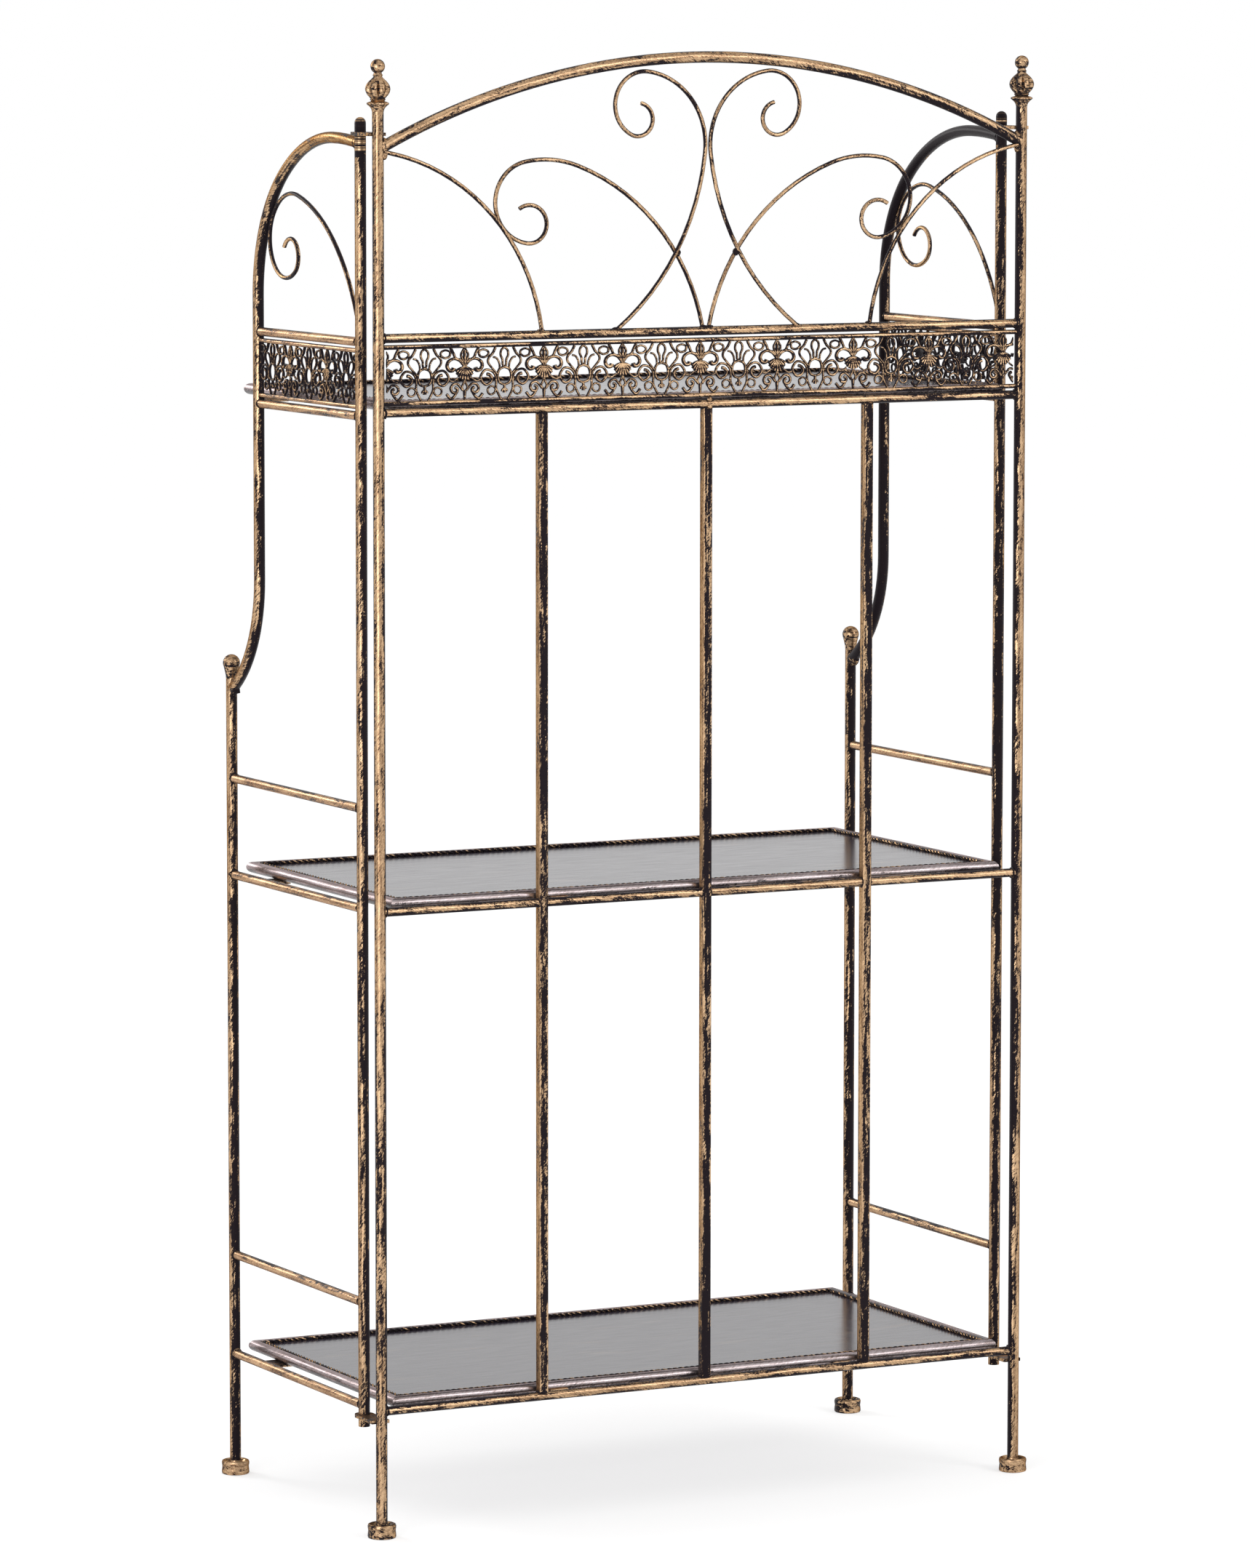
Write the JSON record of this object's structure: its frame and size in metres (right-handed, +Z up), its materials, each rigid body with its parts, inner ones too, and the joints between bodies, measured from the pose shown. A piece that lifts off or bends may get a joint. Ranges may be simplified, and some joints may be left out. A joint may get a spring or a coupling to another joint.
{
  "type": "bakers rack",
  "caption": "Folding metal bakers rack with hinged side frames, fold-up trays, a pierced gallery and scrollwork under an arched back.",
  "frame": {"origin": "on the floor, under the middle of the four feet", "axes": "+Z up, +X to the right of someone in front of the rack, +Y to its back"},
  "size_m": [0.79, 0.402, 1.5419],
  "materials": {
    "frame_tube": "charcoal paint hand-rubbed with bronze",
    "scroll_wire": "charcoal paint hand-rubbed with bronze",
    "filigree": "cast iron, charcoal paint with bronze on the raised edges",
    "tray_tube": "satin charcoal paint with a little bronze",
    "tray_panel": "satin charcoal paint with faint bronze streaks",
    "rope_trim": "charcoal paint hand-rubbed with bronze",
    "hinge_plate": "charcoal paint, bronze at the edges"
  },
  "bodies": {
    "back_frame": {"back_bottom_rail": "frame_tube", "back_feet": "frame_tube", "back_filigree": "filigree", "back_finials": "frame_tube", "back_gallery_bottom_rail": "frame_tube", "back_gallery_rods": "frame_tube", "back_gallery_top_rail": "frame_tube", "back_middle_rail": "frame_tube", "back_post_left": "frame_tube", "back_post_right": "frame_tube", "back_straps": "frame_tube", "c_scrolls": "scroll_wire", "corner_curves": "scroll_wire", "hinge_plates": "hinge_plate", "s_scrolls": "scroll_wire", "top_arch": "frame_tube", "tray_hooks": "frame_tube"},
    "left_side": {"left_bottom_cross_rail": "frame_tube", "left_filigree": "filigree", "left_front_post": "frame_tube", "left_front_post_ends": "frame_tube", "left_gallery_bottom_rail": "frame_tube", "left_gallery_rods": "frame_tube", "left_gallery_top_rail": "frame_tube", "left_hoop": "frame_tube", "left_hoop_scroll": "scroll_wire", "left_lower_guard": "frame_tube", "left_middle_cross_rail": "frame_tube", "left_pivot_post": "frame_tube", "left_tray_rests": "frame_tube", "left_upper_guard": "frame_tube"},
    "right_side": {"right_bottom_cross_rail": "frame_tube", "right_filigree": "filigree", "right_front_post": "frame_tube", "right_front_post_ends": "frame_tube", "right_gallery_bottom_rail": "frame_tube", "right_gallery_rods": "frame_tube", "right_gallery_top_rail": "frame_tube", "right_hoop": "frame_tube", "right_hoop_scroll": "scroll_wire", "right_lower_guard": "frame_tube", "right_middle_cross_rail": "frame_tube", "right_pivot_post": "frame_tube", "right_tray_rests": "frame_tube", "right_upper_guard": "frame_tube"},
    "gallery_tray": {"gallery_tray_frame": "tray_tube", "gallery_tray_panel": "tray_panel", "gallery_tray_rope": "rope_trim"},
    "middle_tray": {"middle_tray_frame": "tray_tube", "middle_tray_panel": "tray_panel", "middle_tray_rope": "rope_trim"},
    "bottom_tray": {"bottom_tray_frame": "tray_tube", "bottom_tray_panel": "tray_panel", "bottom_tray_rope": "rope_trim"}
  },
  "joints": [
    {"name": "left_side_hinge", "type": "hinge", "parent": "back_frame", "child": "left_side", "pos_m": [-0.38, 0.1435, 0.7], "axis": [0, 0, -1], "range_deg": [0, 90]},
    {"name": "right_side_hinge", "type": "hinge", "parent": "back_frame", "child": "right_side", "pos_m": [0.38, 0.1435, 0.7], "axis": [0, 0, 1], "range_deg": [0, 90]},
    {"name": "gallery_tray_hinge", "type": "hinge", "parent": "back_frame", "child": "gallery_tray", "pos_m": [0, 0.1716, 1.1798], "axis": [-1, 0, 0], "range_deg": [0, 90]},
    {"name": "middle_tray_hinge", "type": "hinge", "parent": "back_frame", "child": "middle_tray", "pos_m": [0, 0.1716, 0.6633], "axis": [-1, 0, 0], "range_deg": [0, 90]},
    {"name": "bottom_tray_hinge", "type": "hinge", "parent": "back_frame", "child": "bottom_tray", "pos_m": [0, 0.1716, 0.1394], "axis": [-1, 0, 0], "range_deg": [0, 90]}
  ]
}
